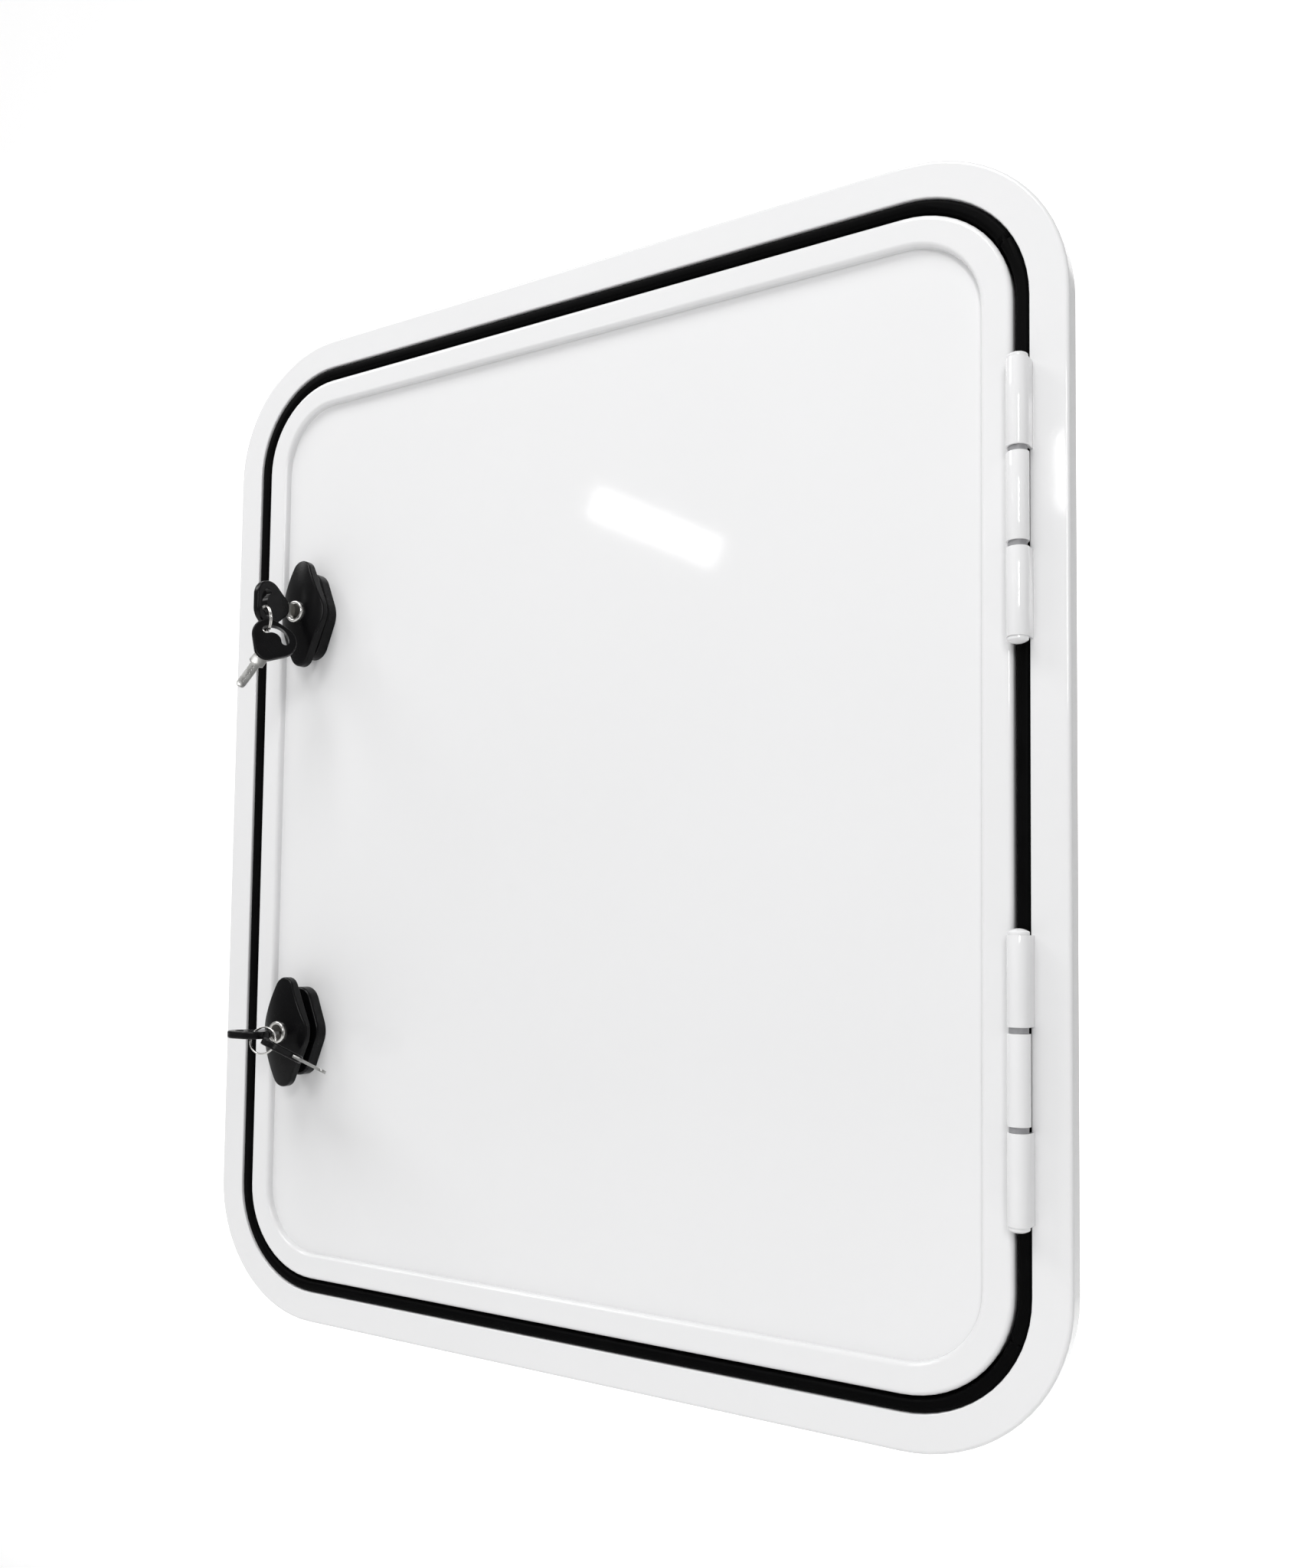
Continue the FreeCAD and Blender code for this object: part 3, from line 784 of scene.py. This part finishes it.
class HATCH_OT_rings(bpy.types.Operator):
    """Model the split rings that hold the keys"""
    bl_idname = "hatch.rings"
    bl_label = "Model Split Rings"

    # Flattening of the wire and half the distance between its two turns, in wire radii. Half the
    # opening of a turn and how far one opening lies from the other, in degrees.
    flatness = 0.92
    half_pitch = 0.94
    half_opening = 7.0
    opening_shift = 40.0

    def execute(self, context):
        sizes = context.scene.hatch_sizes
        pattern = self.model_ring(sizes)
        for lock in LEVELS:
            low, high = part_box(f"{lock}_key_ring")
            obj = copy_of(pattern, f"{lock}_split_ring")
            set_down(obj, (Vector(low) + Vector(high)) / 2, *RINGS[lock])
            dress(obj, nickel(), "nickel", f"{lock}_key", f"{lock}_key_ring")
        bpy.data.objects.remove(pattern)
        return {"FINISHED"}

    def model_ring(self, sizes):
        """Two flattened turns of wire, each open at its end."""
        clear_selection()
        bpy.ops.mesh.primitive_torus_add(
            major_radius=sizes.ring_radius, minor_radius=sizes.ring_wire,
            major_segments=120, minor_segments=14, location=(0, 0, 0))
        obj = active_named("ring_pattern")
        edit(obj)
        bpy.ops.mesh.select_all(action="SELECT")
        bpy.ops.transform.resize(value=(1, 1, self.flatness))
        opening = math.radians(self.half_opening)
        pick(obj, lambda co: abs(math.atan2(co.y, co.x)) < opening, "FACE")
        bpy.ops.mesh.delete(type="FACE")
        bpy.ops.mesh.select_mode(type="EDGE")
        bpy.ops.mesh.select_all(action="DESELECT")
        bpy.ops.mesh.select_non_manifold()
        bpy.ops.mesh.fill_holes(sides=0)
        bpy.ops.mesh.select_all(action="SELECT")
        lift = self.half_pitch * sizes.ring_wire
        bpy.ops.transform.translate(value=(0, 0, -lift))
        bpy.ops.mesh.duplicate()
        bpy.ops.transform.translate(value=(0, 0, 2 * lift))
        bpy.ops.transform.rotate(value=math.radians(self.opening_shift), orient_axis="Z",
                                 center_override=(0, 0, 0))
        bpy.ops.object.mode_set(mode="OBJECT")
        outward(obj)
        smooth(obj, 50.0)
        return obj


class HATCH_OT_stage(bpy.types.Operator):
    """Set up the floor, soft lights and the camera"""
    bl_idname = "hatch.stage"
    bl_label = "Build Stage"

    # What the lights are aimed at.
    middle = (0, 0, 0.346)
    panel_spot = (0.0558, -0.01, 0.5172)
    flange_spot = (0.296, -0.015, 0.51)

    # Each light: its place, target, size, roll in degrees and the property with its power.
    lights = {
        "top_light": ((0.0, -2.0, 3.4), middle, (1.6, 1.9), 0.0, "top_power"),
        "side_light": ((-1.9, -1.2, 2.5), middle, (1.2, 1.2), 0.0, "side_power"),
        "front_light": ((1.3, -2.2, 1.2), middle, (0.55, 0.75), 0.0, "front_power"),
        "lamp": ((-1.108, -1.97, 1.256), panel_spot, (0.33, 0.08), -21.0, "lamp_power"),
        "strip_lamp": ((-0.111, -1.843, 1.174), flange_spot, (0.017, 0.135), 0.0, "strip_power"),
    }

    # The paper: half its floor's side, where it turns up, its wall's height and the curve between.
    half_floor = 8.0
    wall_place = 4.0
    wall_height = 7.0
    curve = 2.0

    def execute(self, context):
        stage = context.scene.hatch_stage
        self.paper_sweep(stage)
        world = context.scene.world or bpy.data.worlds.new("studio_surround")
        context.scene.world = world
        world.use_nodes = True
        background = world.node_tree.nodes["Background"]
        background.inputs["Color"].default_value = (1, 1, 1, 1)
        background.inputs["Strength"].default_value = stage.sky
        for name, (place, target, size, roll, power) in self.lights.items():
            self.soft_light(name, Vector(place), Vector(target), size, roll, getattr(stage, power))
        context.scene.view_settings.view_transform = "Standard"
        self.photo_camera(context)
        return {"FINISHED"}

    def paper_sweep(self, stage):
        """A floor that runs up into a backdrop in one wide curve."""
        clear_selection()
        half = self.half_floor
        near = 0.1
        place = (0, self.wall_place - half, cad_box[0][2] - stage.floor_drop)
        bpy.ops.mesh.primitive_plane_add(size=2 * half, location=place)
        floor = active_named("studio_floor")
        edit(floor)
        pick(floor, lambda co: co.y > half - near)
        stretch_on(0, 0, self.wall_height)
        pick(floor, lambda co: co.y > half - near and co.z < near)
        bpy.ops.mesh.select_mode(type="EDGE")
        bpy.ops.mesh.bevel(offset=self.curve, segments=24, affect="EDGES")
        bpy.ops.object.mode_set(mode="OBJECT")
        bpy.ops.object.transform_apply(location=True, rotation=True, scale=True)
        smooth(floor, 60.0)
        floor.data.materials.append(stage_paper(stage.paper_glow))

    def soft_light(self, name, place, target, size, roll, power):
        clear_selection()
        bpy.ops.object.light_add(type="AREA", location=place)
        light = bpy.context.active_object
        light.name = name
        light.data.shape = "RECTANGLE"
        light.data.size = size[0]
        light.data.size_y = size[1]
        light.data.energy = power
        light.visible_camera = False
        aim = (target - place).to_track_quat("-Z", "Y")
        light.rotation_euler = (aim @ Quaternion((0, 0, 1), math.radians(roll))).to_euler()

    def photo_camera(self, context):
        """The camera fitted to the photograph's frame of 1712 by 2048 pixels."""
        focal = 1684.03
        centre = (863.54, 1141.13)
        width, height = 1712, 2048
        sensor = 36.0
        clear_selection()
        bpy.ops.object.camera_add()
        camera = active_named("photo_camera")
        right = Vector((0.86427, 0.50289, 0.01186))
        up = Vector((0.01560, -0.05036, 0.99861))
        back = Vector((0.50278, -0.86288, -0.05137))
        turn = Matrix((right, up, back)).transposed().to_4x4()
        camera.matrix_world = Matrix.Translation((0.45340, -0.68131, 0.26462)) @ turn
        camera.data.sensor_fit = "AUTO"
        camera.data.sensor_width = sensor
        camera.data.lens = focal / height * sensor
        camera.data.shift_x = (width / 2 - centre[0]) / height
        camera.data.shift_y = (centre[1] - height / 2) / height
        camera.data.clip_start = 0.01
        context.scene.camera = camera


class HATCH_PT_panel(bpy.types.Panel):
    """Pieces and finishes of the hatch door"""
    bl_idname = "HATCH_PT_panel"
    bl_label = "Hatch Door"
    bl_space_type = "VIEW_3D"
    bl_region_type = "UI"
    bl_category = "Hatch"

    def draw(self, context):
        scene = context.scene
        for group in (scene.hatch_finish, scene.hatch_sizes, scene.hatch_stage):
            box = self.layout.box()
            for name in group.__annotations__:
                box.prop(group, name)
        for operator in OPERATORS:
            self.layout.operator(operator.bl_idname)


OPERATORS = (HATCH_OT_paint, HATCH_OT_hinges, HATCH_OT_seal, HATCH_OT_cylinders, HATCH_OT_blades,
             HATCH_OT_rings, HATCH_OT_stage)
GROUPS = {"hatch_finish": HatchFinish, "hatch_sizes": HatchSizes, "hatch_stage": HatchStage}


def register():
    for name, group in GROUPS.items():
        bpy.utils.register_class(group)
        setattr(bpy.types.Scene, name, bpy.props.PointerProperty(type=group))
    for operator in OPERATORS:
        bpy.utils.register_class(operator)
    bpy.utils.register_class(HATCH_PT_panel)


def unregister():
    bpy.utils.unregister_class(HATCH_PT_panel)
    for operator in reversed(OPERATORS):
        bpy.utils.unregister_class(operator)
    for name, group in reversed(GROUPS.items()):
        delattr(bpy.types.Scene, name)
        bpy.utils.unregister_class(group)


def main():
    register()
    bpy.ops.hatch.paint()
    bpy.ops.hatch.hinges()
    bpy.ops.hatch.seal()
    bpy.ops.hatch.cylinders()
    bpy.ops.hatch.blades()
    bpy.ops.hatch.rings()
    bpy.ops.hatch.stage()


if __name__ == "__main__":
    main()
